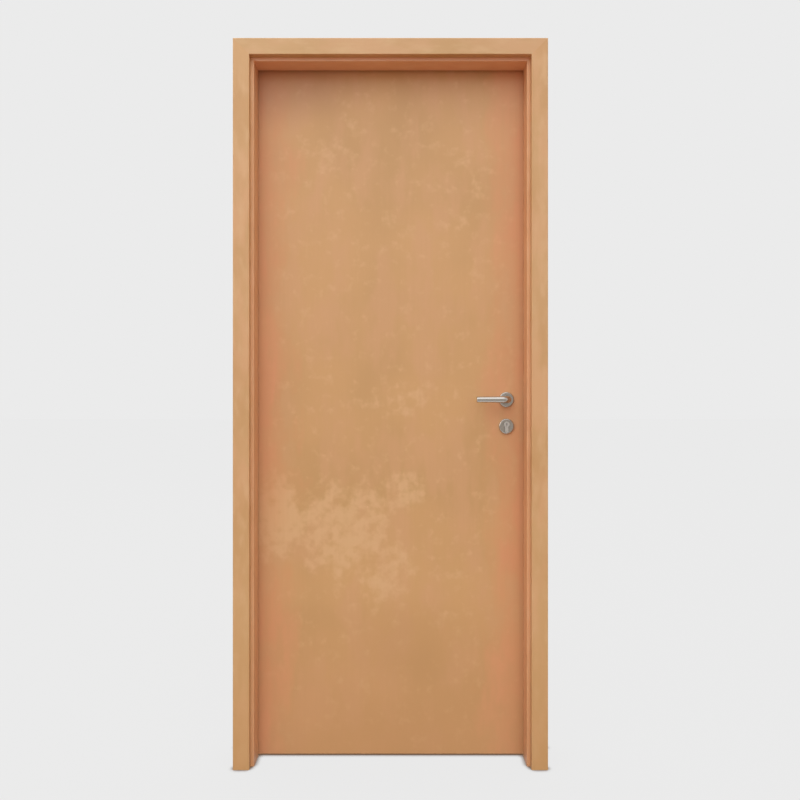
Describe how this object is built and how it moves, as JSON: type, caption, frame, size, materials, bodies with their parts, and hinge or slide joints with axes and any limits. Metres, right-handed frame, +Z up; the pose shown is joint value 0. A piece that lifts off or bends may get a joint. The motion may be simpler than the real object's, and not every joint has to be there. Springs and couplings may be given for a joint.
{
  "type": "hinged wooden door with lining and casings",
  "caption": "Flush wooden interior door set deep in a rebated lining with flat mitred casings, butt hinges, lever handles on round roses and a key cylinder.",
  "frame": {"origin": "at floor level on the wall-side face of the hinge jamb, halfway through the wall", "axes": "+X along the wall from the hinge side to the lock side, +Y through the wall to the side that the leaf opens to, +Z up"},
  "size_m": [0.923, 0.1926, 2.0665],
  "materials": {
    "casing_veneer": "light tan stained veneer, satin",
    "lining_veneer": "light tan stained veneer, satin",
    "leaf_veneer": "mottled tan veneer, satin",
    "edge_timber": "sanded solid timber",
    "core_board": "raw particle board",
    "seal_rubber": "matt brown seal rubber",
    "satin_nickel": "satin nickel",
    "hinge_steel": "satin nickel plated steel",
    "lock_steel": "brushed steel",
    "zinc_plate": "zinc plated sheet",
    "cylinder_nickel": "nickel plated brass"
  },
  "bodies": {
    "frame": {"hinge_jamb": "lining_veneer", "lock_jamb": "lining_veneer", "head_jamb": "lining_veneer", "strike_plate": "lock_steel", "front_casing_hinge_side": "casing_veneer", "front_casing_lock_side": "casing_veneer", "front_casing_head": "casing_veneer", "back_casing_hinge_side": "casing_veneer", "back_casing_lock_side": "casing_veneer", "back_casing_head": "casing_veneer", "seal_hinge_side": "seal_rubber", "seal_lock_side": "seal_rubber", "seal_head": "seal_rubber", "hinge_bottom_frame_half": "hinge_steel", "hinge_middle_frame_half": "hinge_steel", "hinge_top_frame_half": "hinge_steel", "hinge_bottom_pin": "hinge_steel", "hinge_middle_pin": "hinge_steel", "hinge_top_pin": "hinge_steel"},
    "leaf": {"leaf_front_sheet": "leaf_veneer", "leaf_back_sheet": "leaf_veneer", "hinge_stile": "edge_timber", "lock_stile": "edge_timber", "bottom_rail": "edge_timber", "top_rail": "edge_timber", "leaf_core": "core_board", "hinge_bottom_leaf_half": "hinge_steel", "hinge_middle_leaf_half": "hinge_steel", "hinge_top_leaf_half": "hinge_steel", "lock_case": "zinc_plate", "lock_faceplate": "lock_steel", "latch_bolt": "lock_steel", "dead_bolt": "lock_steel", "lock_cylinder": "cylinder_nickel", "front_cylinder_plug": "cylinder_nickel", "back_cylinder_plug": "cylinder_nickel", "front_handle_rose": "satin_nickel", "back_handle_rose": "satin_nickel", "front_key_rose": "satin_nickel", "back_key_rose": "satin_nickel"},
    "handle": {"front_lever": "satin_nickel", "back_lever": "satin_nickel", "spindle": "lock_steel"}
  },
  "joints": [
    {"name": "door_swing", "type": "hinge", "parent": "frame", "child": "leaf", "pos_m": [0.02175, 0.0635, 0], "axis": [0, 0, 1], "range_deg": [0, 140]},
    {"name": "handle_turn", "type": "hinge", "parent": "leaf", "child": "handle", "pos_m": [0.7615, 0.0355, 1.035], "axis": [0, -1, 0], "range_deg": [0, 42], "stiffness_Nm_per_rad": 1.5, "springref_deg": -22.92}
  ]
}
